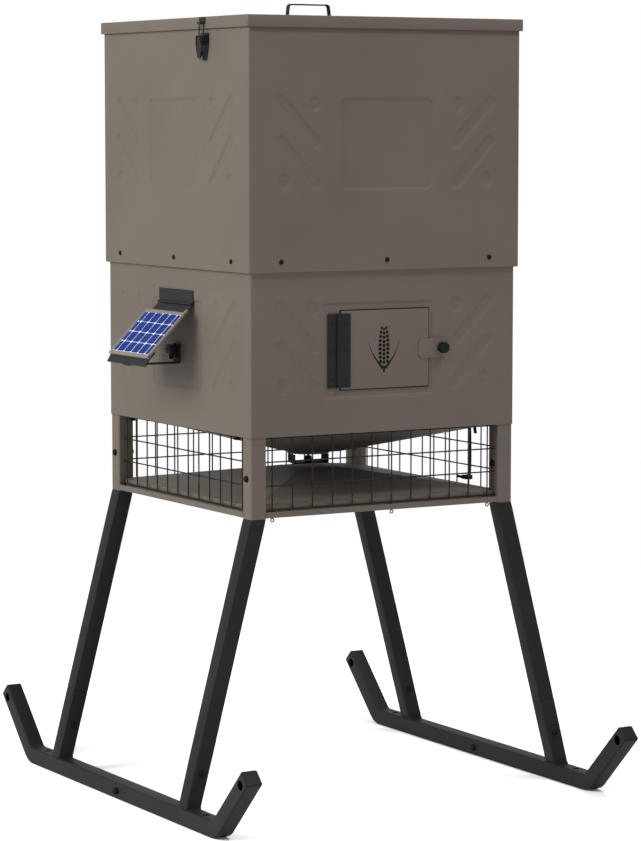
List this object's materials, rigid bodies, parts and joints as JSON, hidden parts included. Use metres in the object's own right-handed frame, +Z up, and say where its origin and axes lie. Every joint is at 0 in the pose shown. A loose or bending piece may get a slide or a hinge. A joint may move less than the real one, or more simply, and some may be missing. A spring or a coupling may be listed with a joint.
{
  "type": "gravity game feeder",
  "caption": "Square tan steel hopper feeder with lid, control door, tilted solar panel, wire-caged spinner, four splayed legs and two upturned skids.",
  "frame": {"origin": "on the hopper's vertical centre line at ground level, under the skids", "axes": "+Z up; the control door faces -Y, the solar panel and lid latch face -X; the skids run along Y"},
  "size_m": [1.0198, 1.2278, 1.7875],
  "materials": {
    "tan_paint": "fine textured powder coat",
    "charcoal_paint": "fine textured powder coat",
    "bracket_paint": "satin powder coat",
    "black_wire": "vinyl-dipped wire",
    "zinc_steel": "zinc plated",
    "dark_steel": "black oxide",
    "galvanised": "galvanised sheet",
    "black_rubber": "matt",
    "black_plastic": "fine grain",
    "grey_plastic": "smooth",
    "solar_glass": "glossy blue cells under glass",
    "panel_frame": "satin anodised"
  },
  "bodies": {
    "hopper": {"upper_shell": "tan_paint", "lower_shell": "tan_paint", "base_pan": "tan_paint", "catch_tray": "tan_paint", "bottom_rails": "tan_paint", "corner_post_front_left": "tan_paint", "corner_post_front_right": "tan_paint", "corner_post_back_left": "tan_paint", "corner_post_back_right": "tan_paint", "hopper_funnel": "galvanised", "control_housing": "galvanised", "leg_front_left": "charcoal_paint", "leg_front_right": "charcoal_paint", "leg_back_left": "charcoal_paint", "leg_back_right": "charcoal_paint", "skid_front_left": "charcoal_paint", "skid_front_right": "charcoal_paint", "skid_back_left": "charcoal_paint", "skid_back_right": "charcoal_paint", "guard_front": "black_wire", "guard_back": "black_wire", "guard_left": "black_wire", "solar_bracket": "bracket_paint", "door_hinge_wall_leaf": "bracket_paint", "strap_fork": "bracket_paint", "motor_bracket": "dark_steel", "drive_motor": "dark_steel", "shell_screws": "dark_steel", "frame_bolts": "dark_steel", "guard_clips": "dark_steel", "guard_pivot_clips": "dark_steel", "latch_base": "zinc_steel", "lid_hinge_shell_leaves": "zinc_steel", "lid_hinge_pins": "zinc_steel", "door_hinge_pin": "zinc_steel", "skid_end_caps": "black_plastic", "solar_junction_box": "black_plastic", "battery": "black_plastic", "timer_case": "grey_plastic", "solar_cells": "solar_glass", "solar_frame": "panel_frame"},
    "lid": {"lid": "tan_paint", "lid_handle": "charcoal_paint", "lid_hinge_lid_leaves": "zinc_steel", "latch_keeper": "zinc_steel"},
    "latch_lever": {"latch_lever": "zinc_steel"},
    "latch_bail": {"latch_bail": "zinc_steel"},
    "door": {"control_door": "tan_paint", "door_hinge_door_leaf": "bracket_paint", "door_tab": "tan_paint"},
    "door_knob": {"door_knob": "black_plastic"},
    "spinner": {"drive_shaft": "zinc_steel", "spinner_plate": "dark_steel"},
    "service_guard": {"guard_right": "black_wire", "strap_anchor": "bracket_paint"},
    "rubber_strap": {"rubber_strap": "black_rubber"},
    "set_button": {"set_button": "grey_plastic"},
    "up_button": {"up_button": "grey_plastic"},
    "test_button": {"test_button": "grey_plastic"}
  },
  "joints": [
    {"name": "lid_hinge", "type": "hinge", "parent": "hopper", "child": "lid", "pos_m": [0.3605, 0, 1.714], "axis": [0, 1, 0], "range_deg": [0, 195]},
    {"name": "latch_lever_hinge", "type": "hinge", "parent": "hopper", "child": "latch_lever", "pos_m": [-0.358, -0.152, 1.702], "axis": [0, 1, 0], "range_deg": [0, 120]},
    {"name": "latch_bail_hinge", "type": "hinge", "parent": "latch_lever", "child": "latch_bail", "pos_m": [-0.3577, -0.152, 1.693], "axis": [0, 1, 0], "range_deg": [-114, 0]},
    {"name": "door_hinge", "type": "hinge", "parent": "hopper", "child": "door", "pos_m": [-0.1216, -0.3439, 1.0205], "axis": [0, 0, -1], "range_deg": [0, 165]},
    {"name": "door_knob_turn", "type": "hinge", "parent": "door", "child": "door_knob", "pos_m": [0.1454, -0.3437, 1.019], "axis": [0, 1, 0], "continuous": true},
    {"name": "spinner_spin", "type": "hinge", "parent": "hopper", "child": "spinner", "pos_m": [0, 0, 0.74], "axis": [0, 0, 1], "continuous": true},
    {"name": "guard_hinge", "type": "hinge", "parent": "hopper", "child": "service_guard", "pos_m": [0.327, 0, 0.6776], "axis": [0, 1, 0], "range_deg": [0, 90]},
    {"name": "rubber_strap_hinge", "type": "hinge", "parent": "service_guard", "child": "rubber_strap", "pos_m": [0.344, -0.1524, 0.698], "axis": [0, 1, 0], "range_deg": [0, 150]},
    {"name": "set_button_press", "type": "slide", "parent": "hopper", "child": "set_button", "axis": [0, 1, 0], "range_m": [0, 0.0015], "stiffness_N_per_m": 300, "springref_m": -0.001},
    {"name": "up_button_press", "type": "slide", "parent": "hopper", "child": "up_button", "axis": [0, 1, 0], "range_m": [0, 0.0015], "stiffness_N_per_m": 300, "springref_m": -0.001},
    {"name": "test_button_press", "type": "slide", "parent": "hopper", "child": "test_button", "axis": [0, 1, 0], "range_m": [0, 0.0015], "stiffness_N_per_m": 300, "springref_m": -0.001}
  ],
  "couplings": [
    {"joint": "latch_bail_hinge", "follows": "latch_lever_hinge", "ratio": -0.95}
  ]
}
